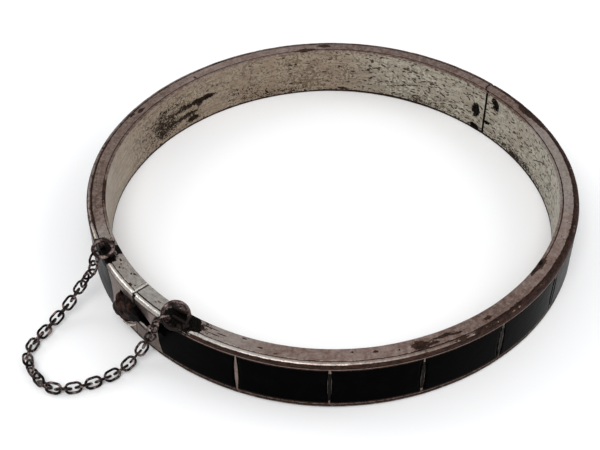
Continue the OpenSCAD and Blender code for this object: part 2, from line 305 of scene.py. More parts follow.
def stone_skin(side, k, grow=0.0):
    """Stone k, or its pocket where grow is more than 0: a rounded rectangle in the section carried from
    divider to divider. The loops near an end bend with the round end of the row or with the divider."""
    first, last = k == 0, k == STONE_COUNT - 1
    start = stone_edge(side, k) - grow
    stop = stone_edge(side, k + 1) + grow
    half = STONE_H / 2 + grow
    face, edge = (-0.4, 0.0) if grow else (0.03, 0.09)
    back = STONE_T + grow
    near = edge * np.array([0, 0.05, 0.15, 0.3, 0.55]) if edge else np.zeros(1)
    up = np.concatenate([near, np.linspace(edge, 2 * half - edge, 23), 2 * half - near[::-1]])
    over = (edge - np.minimum(up, 2 * half - up)).clip(0)
    depth = face + edge - np.sqrt(edge**2 - over**2)
    z = MID_Z + np.concatenate([up - half, [half, -half]])
    depth = np.concatenate([depth, [back, back]])
    s = np.concatenate([start + near, np.linspace(start + 0.2, stop - 0.2, 40), (stop - near)[::-1]])
    t = ((s - start) / (stop - start))[:, None]
    at_start = end_bulge(z) + chipping(z, 7) if first else divider_half(z) + chipping(z, 20 + k)
    at_stop = end_bulge(z) if last else divider_half(z) + chipping(z, 21 + k)
    shift = np.clip(1 - 2.5 * t, 0, 1) * at_start - np.clip(2.5 * t - 1.5, 0, 1) * at_stop
    over = (edge - np.minimum(s - start, stop - s)).clip(0)
    inset = (edge - np.sqrt(edge**2 - over**2))[:, None] * (depth < back)
    return tube(wall(s[:, None] + shift, depth + inset, z + 0 * inset, side))


# The silver halves


def band_loop():
    """The section as a loop of depths and heights with its outward directions: outer wall, top lip, top
    face, inner edge, inner wall, lower inner edge, underside, lower lip. Fine steps where grooves run."""
    edge = 0.1
    lip = np.linspace(0, QUARTER, 11)[1:-1]
    turn = np.linspace(0, QUARTER, 5)[1:-1]
    wall_runs = (LIP_R, 0.8, 13), (0.9, 6.4, 38), (6.5, BAND_H - LIP_R, 13)
    top_runs = (LIP_R, 0.56, 4), (0.58, 0.74, 9), (0.8, 1.9, 11), (1.93, 2.13, 11)
    wall_z = np.concatenate([np.linspace(*run) for run in wall_runs])
    top_d = np.concatenate([*(np.linspace(*run) for run in top_runs), [2.2, 2.28, BAND_T - edge]])
    inner_z = np.linspace(BAND_H - edge, edge, 46)
    under_d = np.linspace(BAND_T - edge, LIP_R, 12)

    def part(d, z, out_d, out_z, r=0):
        return np.broadcast_arrays(d + r * out_d, z + r * out_z, out_d, out_z)

    parts = [
        part(0, wall_z, -1, 0),
        part(LIP_R, BAND_H - LIP_R, -np.cos(lip), np.sin(lip), LIP_R),
        part(top_d, BAND_H, 0, 1),
        part(BAND_T - edge, BAND_H - edge, np.sin(turn), np.cos(turn), edge),
        part(BAND_T, inner_z, 1, 0),
        part(BAND_T - edge, edge, np.cos(turn), -np.sin(turn), edge),
        part(under_d, 0, 0, -1),
        part(LIP_R, LIP_R, -np.sin(lip), -np.cos(lip), LIP_R),
    ]
    return [np.concatenate(values) for values in zip(*parts)]


def slot_top(s):
    """Height of the slot's upper edge, which flares towards the split."""
    return np.interp(s, [0, 0.8, 1.6, 2.6, 3.4], [6.0, 5.5, 5.15, 4.75, 4.0])


# Large pits worn into the inner wall: s, z, half length, half height, lean
PITS = {
    FRONT: [(95.0, 6.2, 0.62, 0.85, 0.35), (96.3, 2.4, 0.5, 0.22, 0.2)],
    BACK: [(96.8, 3.4, 0.62, 1, 0.1), (96.9, 0.6, 0.75, 0.4, -0.4)],
}  # fmt: skip


def band_skin(side):
    """One half: the section carried along the wall, each point sunk along its outward direction by the
    grooves, the rounded ends, hand-made unevenness, wear and the large pits."""
    depth, z, out_d, out_z = band_loop()
    start, stop = GAP / 2, END[side]
    near = np.concatenate([[0, 0.015, 0.04, 0.07, 0.11], np.arange(0.16, 0.8, 0.05)])
    s = np.concatenate([start + near, np.arange(start + 0.9, stop - 0.9, 0.28), (stop - near)[::-1]])
    s, depth, z = s[:, None], depth[None, :], z[None, :]
    plain = wall(s, depth, z, side)
    top = ease(out_z, 0.9, 0.99)
    outer, inner = ease(-out_d, 0.9, 0.99), ease(out_d, 0.9, 0.99)
    sink = 0.07 * ridge(depth, LIP_GROOVE, 0.04) * top
    seam = ease(s, 55, 70) if side == FRONT else ease(s, 78, 92)
    sink = sink + 0.05 * ridge(depth, INNER_GROOVE, 0.035) * top * seam
    stones = ease(s, PLAIN[side] - 0.5, PLAIN[side] + 1.5) * (1 - ease(s, stop - 4, stop - 2.5))
    rim = ridge(z, LINE_Z, 0.055) + ridge(z, BAND_H - LINE_Z, 0.055)
    sink = sink + 0.06 * rim * outer * stones
    sink = sink + 0.012 * (1 + grain(plain, 3.1, 3)) + 0.006 * (1 + grain(plain, 1.1, 4))
    lip = (depth < LIP_DEPTH) & (z > LIP_Z)
    sink = sink + 0.022 * ease(grain(plain, 0.9, 5), 0.1, 0.9) * lip
    if side == BACK:
        end_r = 0.07 + 0.26 * top + 0.05 * lip
        sink = sink + 0.05 * ridge(s, END_GROOVE, 0.05) * top * ease(depth, 0.6, 0.7)
    else:
        end_r = 0.07 + 0.11 * outer * (z > 3.3)
        below = ease(z, 2.75, 3.3) * (z < 3.4) * (1 - ease(s, 2.6, 3.4))
        above = (1 - ease(z - slot_top(s), 0, 0.75)) * (z > 3.4) * (1 - ease(s, 2.4, 3.6))
        sink = sink + (0.13 * below + 0.12 * above) * outer
    for s_end, r in ((start, end_r), (stop, 0.07)):
        back = r - np.minimum(np.abs(s - s_end), r)
        sink = sink + r - np.sqrt(r**2 - back**2)
    for s0, z0, long, high, lean in PITS[side]:
        u, v = (s - s0) - lean * (z - z0), z - z0
        hole = 1 - ease(np.hypot(u / long, v / high) + 0.25 * grain(plain, 0.3, 6), 0.7, 1.15)
        sink = sink + 0.22 * hole * inner
    return tube(wall(s, depth - sink * out_d, z - sink * out_z, side))


def pin_frame(points):
    """Points given about the pin, x out of the wall and y along it towards the hinge, put in place."""
    k = len(START) - 1
    turn = math.pi + START[k] + (HINGE_S - BEFORE[k]) / RADIUS[k]
    out = np.array([math.cos(turn), math.sin(turn)])
    along = np.array([-out[1], out[0]])
    pin = CENTRE[k] + (RADIUS[k] - PIN_INSET) * out
    return pin + points[:, :1] * out + points[:, 1:] * along


KNUCKLE_H = BAND_H / 3


def knuckle_span(n, bottom, top, inset):
    """Lower and upper end of knuckle n of three, from the bottom: the outermost ends are given."""
    low, high = n * KNUCKLE_H + inset, (n + 1) * KNUCKLE_H - inset
    return [bottom if n == 0 else low, top if n == 2 else high]


def knuckle(n):
    """Knuckle n: a cylinder kept within the section of the band."""
    barrel = upright(pin_frame(circle(64) * KNUCKLE_R), knuckle_span(n, 0.01, BAND_H, GAP / 2))
    depth, z, out_d, out_z = band_loop()
    s = HINGE_S + np.linspace(-1.5, 1.5, 13)
    section = tube(wall(s[:, None], depth - 0.03 * out_d, z - 0.03 * out_z, FRONT))
    return carve(barrel, [("INTERSECT", section)])


def knuckle_room(n):
    """Room for knuckle n in the other half: round inside, straight towards the outside."""
    r = KNUCKLE_R + GAP
    a = np.linspace(QUARTER, 3 * QUARTER, 33)
    inside = r * np.column_stack([np.cos(a), np.sin(a)])
    plan = np.vstack([inside, [[PIN_INSET + 1, -r], [PIN_INSET + 1, r]]])
    return upright(pin_frame(plan), knuckle_span(n, -1, BAND_H + 1, -GAP / 2))


PIN_BORE = upright(pin_frame(circle(48) * (PIN_R + 0.05)), [-1, BAND_H - PIN_COVER])

# Outlines on the wall as s and z: the slot on the front half, and the thumb pad on the back half
SLOT = rounded([
    (-0.5, 3.28), (1.5, 3.3), (3.1, 3.38), (3.55, 3.72), (3.3, 4.15), (2.6, 4.75), (1.6, 5.15), (0.8, 5.5),
    (0.3, 5.9), (-0.5, 6.15),
])  # fmt: skip
PAD = [
    (4.05, 2.75), (3.85, 2.2), (3.3, 1.85), (2.6, 1.72), (1.9, 1.75), (1.2, 1.95), (0.5, 2.35), (0.14, 2.85),
    (-0.18, 3.46), (-0.9, 3.62), (-1.35, 3.92), (-1.35, 4.5), (-0.9, 5.0), (-0.3, 5.3), (0.3, 5.75),
    (0.9, 5.8), (1.5, 5.6), (2.1, 5.55), (2.6, 5.85), (2.8, 5.2), (3.1, 4.4), (3.45, 3.8), (3.85, 3.3),
]  # fmt: skip


def pad_outline(grow=0.0):
    """The pad's outline as s and z on the back half: its middle, directions from there, and how far the
    outline, grown, lies in each."""
    p = rounded(PAD, 3)
    middle = np.array([1.45, 3.9])
    angle = np.arctan2(p[:, 1] - middle[1], p[:, 0] - middle[0])
    order = np.argsort(angle)
    want = np.linspace(-math.pi, math.pi, 72, endpoint=False)
    reach = np.interp(want, angle[order], np.hypot(*(p - middle).T)[order], period=2 * math.pi)
    return middle, np.column_stack([np.cos(want), np.sin(want)]), reach + grow


def pad_hollow():
    """The hollow that the pad is pressed into: its outline, grown, and open at the split."""
    middle, way, reach = pad_outline(0.22)
    return through_wall(middle + way * reach[:, None], [-1, 0.6], BACK)


# Round wire and lumps


def facing(az, el):
    """Two directions across the way that compass angle az, raised by el, points to, and that way."""
    az, el = math.radians(az), math.radians(el)
    way = np.array([math.cos(el) * math.cos(az), math.cos(el) * math.sin(az), math.sin(el)])
    across = np.array([-math.sin(az), math.cos(az), 0])
    return across, np.cross(way, across), way


def wire_ring(centre, az, el, r, wire, seed):
    """Ring of round wire: centre + (r + w cos b) * (cos a, sin a) + w sin b along the way it faces, with w
    a little uneven around the ring."""
    u, v, way = facing(az, el)
    a, b = angles(72)[:, None], angles(16)
    ray = np.cos(a)[..., None] * u + np.sin(a)[..., None] * v
    loops = np.asarray(centre) + ray * (r + wire * np.cos(b))[..., None] + (wire * np.sin(b))[..., None] * way
    out = ray * np.cos(b)[..., None] + np.sin(b)[..., None] * way
    return tube(loops - 0.1 * wire * (1 + grain(loops, 0.35, seed))[..., None] * out, ring=True)


def lump(centre, size, seed):
    """Lump: a ball from pole to pole, its radius made uneven and each axis with its own size."""
    t, a = np.linspace(0.02, math.pi - 0.02, 24)[:, None], angles(32)
    ball = np.stack([np.sin(t) * np.cos(a), np.sin(t) * np.sin(a), np.cos(t) + 0 * a], -1)
    r = 1 + 0.25 * (grain(ball * size + centre, 0.45, seed) - 0.6)
    return tube(np.asarray(centre) + ball * size * r[..., None])


def bead(side, s, depth, z, r, t, count):
    """Round bead along the wall, thin at both ends: its radius is r * sqrt(4 t (1 - t))."""
    thick, b = r * np.sqrt(np.clip(4 * t * (1 - t), 0.02, 1)), angles(count)
    return tube(wall(s, depth + thick * np.cos(b), z + thick * np.sin(b), side))


def fillet(side, ends, depth, z, r, seed):
    """Run of solder along the wall: a bead, uneven between its ends."""
    t = np.linspace(0, 1, 26)[:, None]
    s = ends[0] + (ends[1] - ends[0]) * t
    uneven = 0.85 + 0.15 * grain(np.concatenate([s, t, t], -1), 0.5, seed)[:, None]
    return bead(side, s, depth, z, r * uneven, t, 14)


# The chain: oval links along a smooth route over the surface, as in the part

ROUTE = np.array([
    [-31.47, 7.31, 6.78], [-31.88, 7.5, 5.8], [-32.5, 7.95, 4.65], [-33.45, 8.25, 3.4], [-35.05, 8.2, 2.1],
    [-37.2, 7.95, 1.1], [-39.2, 7.4, 0.76], [-41.2, 6.65, 0.72], [-42.55, 5.7, 0.72], [-43.3, 4.4, 0.7],
    [-43.6, 2.9, 0.7], [-43.7, 1.4, 0.7], [-43.4, -0.15, 0.7], [-42.4, -1.45, 0.7], [-40.9, -2.35, 0.7],
    [-39.2, -3, 0.7], [-37.4, -3.4, 0.7], [-35.7, -3.5, 0.76], [-34.3, -3.42, 1.05], [-33.2, -3.4, 1.6],
    [-32.45, -3.5, 2.35], [-32, -3.78, 3.2], [-31.82, -4.2, 4.1], [-31.82, -4.6, 4.95],
    [-31.95, -5.02, 6.05], [-31.6, -5.6, 7.5],
])  # fmt: skip
ROUTE_STEPS = 12
# Links: how many, their inner length and width, and the wire's radius; the jump rings' wire and radius
LINK_COUNT, LINK_IN_L, LINK_IN_W, LINK_WIRE, JUMP_WIRE, JUMP_R = 34, 1.48, 0.78, 0.16, 0.15, 0.92
# How far a link is rolled about the route, in degrees, by its number
ROLLS = ([0, 5, 11, 18, 28, 33], [28, -39, -44, -18, -6, -52])


def unit(v):
    return v / np.linalg.norm(v)


def chain_skins():
    """Every link is a round wire carried round two half circles and the straights between them. Its
    middle lies on the route, its length along it, and its width turns by a quarter from link to link."""
    last = len(ROUTE) - 1
    u = np.arange(ROUTE_STEPS)[:, None] / ROUTE_STEPS
    parts = []
    for i in range(last):
        a, b, c, d = (ROUTE[min(max(i + k, 0), last)] for k in (-1, 0, 1, 2))
        square, cube = 2 * a - 5 * b + 4 * c - d, 3 * b - a - 3 * c + d
        parts.append(0.5 * (2 * b + (c - a) * u + square * u**2 + cube * u**3))
    curve = np.vstack([*parts, ROUTE[-1]])
    length = np.append(0, np.cumsum(np.linalg.norm(np.diff(curve, axis=0), axis=1)))

    def on_curve(d):
        return np.array([np.interp(d, length, curve[:, k]) for k in range(3)])

    first = LINK_IN_L / 2 - JUMP_WIRE - 0.13
    pitch = (length[-1] - 2 * first) / (LINK_COUNT - 1)
    end_r = LINK_IN_W / 2 + LINK_WIRE
    end_x = LINK_IN_L / 2 + LINK_WIRE - end_r
    half = np.radians(np.linspace(-90, 90, 9))
    a = np.concatenate([half, half + math.pi])[:, None]
    b = angles(10)
    x = np.repeat([end_x, -end_x], len(half))[:, None]
    skins, cross_way = [], None
    for i in range(LINK_COUNT):
        d = first + i * pitch
        t = unit(on_curve(d + pitch / 2) - on_curve(d - pitch / 2))
        cross_way = unit(np.cross(t, [0, 0, 1])) if i == 0 else unit(cross_way - (cross_way @ t) * t)
        roll = math.radians(np.interp(i, *ROLLS) + 90 * (i % 2))
        w = cross_way * math.cos(roll) + np.cross(cross_way, t) * math.sin(roll)
        n = np.cross(t, w)
        wire = LINK_WIRE * (1 - 0.05 * (1 + grain(np.array([[i * 1.7, 0.3, 0.9]]), 1.0, 9)[0]))
        r = end_r + wire * np.cos(b)
        flat = [x + r * np.cos(a), r * np.sin(a), wire * np.sin(b) + 0 * a]
        loops = on_curve(d) + sum(f[..., None] * way for f, way in zip(flat, (t, w, n)))
        skins.append(tube(loops, ring=True))
    return skins


# Thumb piece

SPRING_LEAF, FOLD_S, SPRING_ANGLE, TONGUE_LEN = (1.17, 1.41), 5.5, 3.0, 5.9
PAD_GAP, PAD_RISE = 0.15, 0.95
NECK_S, NECK_Z = [0.15, 0.45, 0.75, 1.0], (4.3 - 0.85, 4.3 + 0.85)


def pad_skin():
    """The pad: loops of its outline that grow over a flat back, turn round the rim and close over a lumpy
    front, whose height falls to the rim as sqrt(1 - t^3)."""
    middle, way, reach = pad_outline()
    front = np.linspace(0.96, 0.03, 22) ** 0.9
    t = np.concatenate([[0.03, 0.5, 0.9, 0.98, 1.0, 0.99], front])
    dome = 0.2 + (PAD_RISE - PAD_GAP - 0.2) * np.sqrt(1 - front**3)
    height = np.concatenate([[0, 0, 0, 0.03, 0.1, 0.17], dome])[:, None]
    plan = middle + way * (t[:, None] * reach)[..., None]
    flat = np.stack([plan[..., 0], plan[..., 1], 0 * plan[..., 0]], -1)
    plan = plan + way * (0.09 * grain(flat, 0.5, 31) * ease(t, 0.6, 1)[:, None])[..., None]
    rough = 0.24 * (1 + grain(flat, 0.7, 32)) / 2 + 0.12 * (1 + grain(flat, 0.28, 33)) / 2
    high = height * (1 + 0.45 * ease(plan[..., 0], 0.3, 2.8)) - rough * ease(height, 0.15, 0.5)
    return tube(wall(plan[..., 0], -PAD_GAP - high, plan[..., 1], BACK))


def pad_lip():
    """The bright lip along the lower edge of the pad: a bead along part of its outline."""
    t = np.linspace(0, 1, 40)[:, None]
    s = np.interp(t, [0, 0.3, 0.6, 0.85, 1], [1.9, 1.0, 0.2, -0.6, -1.2])
    z = np.interp(t, [0, 0.3, 0.6, 0.85, 1], [1.75, 1.98, 2.42, 3.0, 3.7])
    return bead(BACK, s, -PAD_GAP - 0.5, z, 0.21, t, 12)


def thumb_skins():
    """Spring leaf inside the clasp, turned open about its fold, the neck through the slot, and the pad."""
    fold = wall(FOLD_S, sum(SPRING_LEAF) / 2, 0, FRONT)
    points, corners = swept_box(np.linspace(0.6, FOLD_S, 16), SPRING_LEAF, LEAF_Z, FRONT)
    a = math.radians(SPRING_ANGLE)
    turn = np.array([[math.cos(a), math.sin(a), 0], [-math.sin(a), math.cos(a), 0], [0, 0, 1]])
    leaf = ((points - fold) @ turn + fold, corners)
    rod = upright(fold[:2] + 0.12 * circle(20), LEAF_Z)
    neck = swept_box(NECK_S, (-PAD_GAP - 0.1, SPRING_LEAF[0] - 0.1), NECK_Z, FRONT)
    return [leaf, rod, neck, pad_skin(), pad_lip()]


# Finishes


def arithmetic(operation, swapped=False):
    """What a wire does with another wire or a number: a Math node, with the two values swapped if asked."""

    def result(self, other):
        values = (other, self) if swapped else (self, other)
        return self.finish.node("Math", {"operation": operation}, *values)

    return result


class Wire:
    """A socket that numbers and other wires can be added to, taken from or multiplied by."""

    __add__ = __radd__ = arithmetic("ADD")
    __mul__ = __rmul__ = arithmetic("MULTIPLY")
    __sub__, __rsub__ = arithmetic("SUBTRACT"), arithmetic("SUBTRACT", True)
    most = arithmetic("MAXIMUM")

    def __init__(self, finish, socket):
        self.finish, self.socket = finish, socket

    def ease(self, low, high):
        return self.finish.node("MapRange", {"interpolation_type": "SMOOTHSTEP"}, self, low, high, 0.0, 1.0)


class Finish:
    """A material and the calls that build its nodes."""

    def __init__(self, name):
        self.material = bpy.data.materials.new(name)
        self.material.use_nodes = True
        self.tree = self.material.node_tree
        self.tree.nodes.clear()

    def node(self, kind, settings=None, *values, out=0, **named):
        """Any node: its type, its settings, then its sockets by place or by name."""
        made = self.tree.nodes.new("ShaderNode" + kind)
        for key, value in (settings or {}).items():
            setattr(made, key, value)
        sockets = [(made.inputs[k], value) for k, value in enumerate(values)]
        sockets += [(made.inputs[key.replace("_", " ")], value) for key, value in named.items()]
        for socket, value in sockets:
            if isinstance(value, Wire):
                self.tree.links.new(value.socket, socket)
            elif value is not None:
                socket.default_value = (*value, 1) if socket.type == "RGBA" else value
        outputs = [o for o in made.outputs if o.enabled]
        return Wire(self, outputs[out] if outputs else None)

    def noise(self, vector, scale, detail=3.0, rough=0.5, warp=0.0):
        return self.node("TexNoise", {}, vector, None, scale, detail, rough, None, None, None, warp)

    def cells(self, vector, out=0):
        """Cells of unit size about scattered points: how far the nearest one is, or with out=1 its colour."""
        return self.node("TexVoronoi", {"feature": "F1"}, Vector=vector, Scale=1.0, Randomness=1.0, out=out)

    def mix(self, factor, a, b):
        return self.node("Mix", {"data_type": "RGBA"}, factor, None, None, None, None, None, a, b)

    def scaled(self, vector, x, y, z):
        return self.node("VectorMath", {"operation": "MULTIPLY"}, vector, (x, y, z))

    def place(self):
        """The place on the piece in millimetres."""
        spot = self.node("TexCoord", {}, out=3)
        return self.scaled(spot, 1 / MM, 1 / MM, 1 / MM)

    def over(self, colour, *layers):
        """Layers of paint, each with how much of it covers and its colour, one over the other."""
        for cover, shade in layers:
            colour = self.mix(cover, colour, shade)
        return colour

    def painted(self, name, out=2):
        """A number that is painted on the mesh, or with out=1 a vector."""
        return self.node("Attribute", {"attribute_name": name}, out=out)

    def done(self, bump=None, height=0.1, **sockets):
        """The surface itself; bump is a height, and height its size in millimetres."""
        if bump is not None:
            sockets["Normal"] = self.node("Bump", {}, Strength=1.0, Distance=height * MM, Height=bump)
        surface = self.node("BsdfPrincipled", {}, **sockets)
        self.node("OutputMaterial", {}, surface)
        return self.material


def silver_finish():
    """Old silver: greenish and pitted inside, flat and pinkish on the top face, bright where it is rubbed and
    where a highlight is painted on, with brown tarnish in grooves and where it is painted on, painted shade
    on the outer wall, in the gaps, the split and the slot, and black heat marks. It reads what paint_band
    paints."""
    f = Finish("worn_silver")
    spot = f.place()
    along = f.painted("along", out=1)
    depth, z = (f.node("SeparateXYZ", {}, along, out=k) for k in (1, 2))
    names = "stain tone burn shine pitting age row hollow sides mottle"
    stain, tone, burn, shine, pit, age, row, hollow, sides, mottle = map(f.painted, names.split())
    inner = depth.ease(*INNER_FROM) * (1 - z.ease(*TOP_FROM))
    cloud = f.noise(spot, 0.32, 5.0, 0.62)
    fine = f.noise(f.scaled(along, 0.5, 1.0, 1.0), 3.2, 5.0, 0.65)
    speck = f.noise(spot, 5.5, 3.0, 0.6)
    streak = f.noise(f.scaled(along, 0.3, 2.2, 2.2), 1.6, 5.0, 0.72)
    marble = f.noise(spot, 0.75, 5.0, 0.62, 1.4)

    light = cloud.ease(0.36, 0.64)
    warm = f.mix(light, (0.29, 0.225, 0.165), (0.37, 0.315, 0.245))
    cold = f.mix(light, (0.355, 0.32, 0.255), (0.49, 0.47, 0.39))
    pale = f.mix(pit.ease(0.1, 0.6), warm, cold)
    pale = f.mix(streak.ease(0.42, 0.66) * 0.55, pale, (0.16, 0.115, 0.09))
    blotch = 0.75 * f.noise(spot, 1.5, 6.0, 0.7) + 0.25 * streak
    face = f.over(
        f.mix(marble.ease(0.4, 0.58), (0.30, 0.20, 0.17), (0.41, 0.31, 0.275)),
        (0.35 * age, (0.11, 0.056, 0.036)),
        (streak.ease(0.5, 0.62) * 0.45, (0.52, 0.43, 0.38)),
        (blotch.ease(0.4, 0.62) * (0.3 + 0.6 * age), (0.09, 0.042, 0.028)),
    )
    clean = f.mix(fine.ease(0.3, 0.7), (0.365, 0.335, 0.3), (0.56, 0.53, 0.485))

    shape = f.scaled(along, 1.05, 1.0, 2.9)
    drift = f.node("TexNoise", {}, Vector=spot, Scale=0.9, out=1)
    warped = f.node("VectorMath", {"operation": "ADD"}, shape, f.scaled(drift, 1.6, 0.0, 3.0))
    dots = 1 - f.cells(warped).ease(0.29, 0.42)
    keep = f.node("SeparateColor", {}, f.cells(warped, out=1))
    clumps = pit + 0.9 * (cloud - 0.5) + 0.8 * (fine - 0.5)
    dots = dots * (keep + clumps).ease(0.9, 0.96) * inner
    small = f.noise(spot, 2.6, 5.0, 0.7)
    flecks = (small + 0.5 * (cloud - 0.5)).ease(0.51, 0.57) * (0.25 + (0.95 * tone - 0.25) * inner)

    ragged = 1.1 * (f.noise(spot, 1.3, 4.0, 0.6) - 0.5) + 1.3 * (fine - 0.5) + 0.9 * (speck - 0.5)
    rust_and_shade = f.mix(fine.ease(0.35, 0.7), (0.008, 0.0032, 0.0022), (0.05, 0.021, 0.013))
    broken = (mottle + 1.9 * (speck - 0.5) + 1.5 * (fine - 0.5)).ease(0.42, 0.56)
    brown = (stain + ragged).ease(0.38, 0.58)
    specks = f.mix(cloud.ease(0.4, 0.6), (0.04, 0.022, 0.015), (0.1, 0.056, 0.028))
    crust = f.mix(fine.ease(0.4, 0.6), (0.007, 0.0035, 0.0025), (0.03, 0.018, 0.01))
    black = f.mix(speck.ease(0.42, 0.62), (0.003, 0.002, 0.002), (0.014, 0.012, 0.009))
    gap = f.node("Math", {"operation": "WRAP"}, row, STONE_PITCH / 2, -STONE_PITCH / 2)
    middle = 1 - f.node("Math", {"operation": "ABSOLUTE"}, gap).ease(0.15, 0.24)
    # Black: heat marks, the dark middle of the silver between stones, and painted shade in the split, the
    # slot and inside the rings
    scorch_and_shade = (burn + hollow * middle + ragged).ease(0.36, 0.54)
    colour = f.over(
        f.mix(inner, f.mix(tone, clean, face), pale),
        # painted shade on the outer wall, and above 1 a darker brown by the slot
        (0.5 * sides, (0.085, 0.062, 0.05)),
        (sides - 1, (0.028, 0.014, 0.009)),
        # painted highlight, partly rubbed bright metal
        (shine, (0.76, 0.73, 0.68)),
        (0.8 * flecks, specks),
        # brown tarnish, with painted shade in the gaps under the outer wall
        (brown, rust_and_shade),
        (broken, crust),
        (0.94 * dots, (0.034, 0.018, 0.011)),
        (scorch_and_shade, black),
    )

    dull = brown.most(scorch_and_shade).most(broken)
    rough = 0.34 + 0.08 * tone + 0.16 * (fine - 0.5) + 0.08 * inner + dull * 0.2 - 0.1 * shine
    metal = (1 - 0.6 * brown.most(dots)).most(scorch_and_shade).most(broken)
    bump = 0.5 * fine + 0.3 * speck - 1.1 * dots + 0.15 * f.noise(spot, 14.0, 2.0) - 0.5 * scorch_and_shade * speck
    return f.done(bump, 0.05, Base_Color=colour, Roughness=rough, Metallic=metal, Specular_IOR_Level=0.18)


def ring_finish():
    """Thick ring wire and solder: dark brown tarnish, rubbed pinkish here and there, and darker where
    painted, most towards the bottom.
    """
    f = Finish("ring_silver")
    spot = f.place()
    cloud, fine = f.noise(spot, 1.3, 4.0, 0.6), f.noise(spot, 6.0, 4.0, 0.6)
    colour = f.mix(cloud.ease(0.45, 0.62), (0.022, 0.011, 0.009), (0.24, 0.175, 0.16))
    soot = (f.painted("soot") + 0.5 * (fine - 0.5)).ease(0.3, 0.7)
    colour = f.mix(soot.most(fine.ease(0.52, 0.66) * 0.75), colour, (0.012, 0.007, 0.006))
    return f.done(fine + 0.5 * cloud, 0.07, Base_Color=colour, Roughness=0.28 + 0.3 * fine, Metallic=0.85)


def dark_finish():
    """Blackened silver wire of the chain and the jump rings, lighter where it rubs."""
    f = Finish("dark_silver")
    spot = f.place()
    cloud, patch, fine = (f.noise(spot, scale, 3.0, 0.6) for scale in (1.1, 2.3, 7.0))
    colour = f.over(
        f.mix(cloud.ease(0.42, 0.62), (0.009, 0.0045, 0.004), (0.27, 0.19, 0.17)),
        (fine.ease(0.5, 0.66) * 0.75, (0.014, 0.007, 0.006)),
        (patch.ease(0.42, 0.53) * 0.93, (0.004, 0.002, 0.002)),
    )
    rough = 0.26 + 0.25 * fine
    return f.done(fine, 0.03, Base_Color=colour, Roughness=rough, Metallic=0.6, Specular_IOR_Level=0.1)


def thumb_finish():
    """The thumb pad's thick, uneven, dark reddish brown tarnish, nearly black where it is shaded."""
    f = Finish("thumb_silver")
    spot = f.place()
    cloud, fine = f.noise(spot, 1.3, 4.0, 0.6), f.noise(spot, 4.0, 3.0, 0.55)
    colour = f.mix(cloud.ease(0.42, 0.66), (0.004, 0.0016, 0.0014), (0.042, 0.018, 0.0125))
    colour = f.mix(f.painted("shade"), colour, (0.0012, 0.0006, 0.0006))
    return f.done(fine + cloud, 0.06, Base_Color=colour, Roughness=0.4 + 0.3 * fine, Specular_IOR_Level=0.05)


def plain_finish(name, detail, blend, dark, light, height, rough):
    """Even silver between two colours: the rubbed tan lower edge of the pad, and the dull hinge pin."""
    f = Finish(name)
    fine = f.noise(f.place(), 4.0, detail, 0.6)
    colour = f.mix(fine.ease(*blend), dark, light)
    return f.done(fine, height, Base_Color=colour, Roughness=0.3 + rough * fine, Metallic=0.9)


def stone_finish():
    """Polished jet-black stone: faint wheel marks, a painted grey sheen at both ends of the rows, which
    stands in for their reflection, and brown dirt along its edges."""
    f = Finish("black_stone")
    spot = f.place()
    edge, film = f.painted("edge"), f.painted("film")
    cloud, fine = f.noise(spot, 0.5, 4.0, 0.6), f.noise(spot, 3.5, 4.0, 0.6)
    dirt = (edge + 0.9 * (fine - 0.5)).ease(0.6, 0.9)
    # Painted grey sheen, which stands in for the reflection at the ends of the rows
    sheen_cover = (film + 0.5 * (cloud - 0.5)).ease(0.2, 0.9)
    colour = f.mix(cloud.ease(0.45, 0.75), (0.0002, 0.0002, 0.0003), (0.0009, 0.0008, 0.0008))
    colour = f.over(colour, (sheen_cover, (0.009, 0.007, 0.009)), (dirt, (0.03, 0.016, 0.012)))
    rough = 0.09 + 0.08 * cloud + 0.4 * dirt + 0.15 * sheen_cover
    bump = f.noise(spot, 0.9, 2.0) + 0.05 * fine
    return f.done(bump, 0.02, Base_Color=colour, Roughness=rough, Specular_IOR_Level=0.007)


def floor_finish():
    """Even, nearly white floor."""
    f = Finish("pale_floor")
    shade = f.noise(f.place(), 0.02, 2.0)
    return f.done(Base_Color=f.mix(shade, (0.93, 0.93, 0.93), (0.95, 0.95, 0.95)), Roughness=0.7)


# Paint on the metal

# Brown patches on the top face: s, depth, half length, half width
TOP_STAINS = {
    FRONT: [
        (36.3, 1.3, 1.1, 0.6), (38.1, 1.1, 0.6, 0.16), (39.4, 1.6, 1.2, 0.24), (41.2, 1.3, 0.8, 0.14),
        (31.0, 1.65, 0.3, 0.2), (33.8, 1.35, 0.16, 0.14), (9.8, 1.4, 0.6, 0.5), (28.3, 1.9, 0.22, 0.12),
        (57.4, 2.1, 0.9, 0.35), (55.7, 2.2, 0.6, 0.25), (15.4, 2.1, 0.3, 0.11), (17.6, 1.4, 0.35, 0.09),
        (19.6, 1, 0.4, 0.08), (45.5, 1.3, 0.5, 0.2), (90.2, 0.95, 1.6, 0.4), (87.6, 0.8, 1.3, 0.25),
        (3.3, 1.5, 0.25, 0.1), (2.9, 1.2, 0.15, 0.08), (11.2, 1.9, 0.8, 0.07), (11.7, 1.25, 1, 0.06),
        (12.6, 1.6, 0.6, 0.06),
    ],
    BACK: [
        (67.6, 2.05, 1.4, 0.35), (70.6, 1.2, 0.9, 0.3), (19.6, 2.3, 2.2, 0.2), (4.7, 1.1, 0.22, 0.12),
        (4.3, 1.4, 0.15, 0.08), (5.1, 1.5, 0.15, 0.08), (2.6, 2.0, 0.2, 0.1), (2.9, 1.75, 0.18, 0.1),
        (2.2, 2.15, 0.15, 0.1), (1.4, 0.85, 0.3, 0.12), (0.9, 1.1, 0.2, 0.1), (6.0, 1.2, 0.2, 0.12),
        (5.8, 1.75, 0.22, 0.1), (49.0, 1.5, 0.12, 0.5), (38.2, 1.3, 0.7, 0.3), (36.6, 0.9, 0.5, 0.16),
    ],
}  # fmt: skip
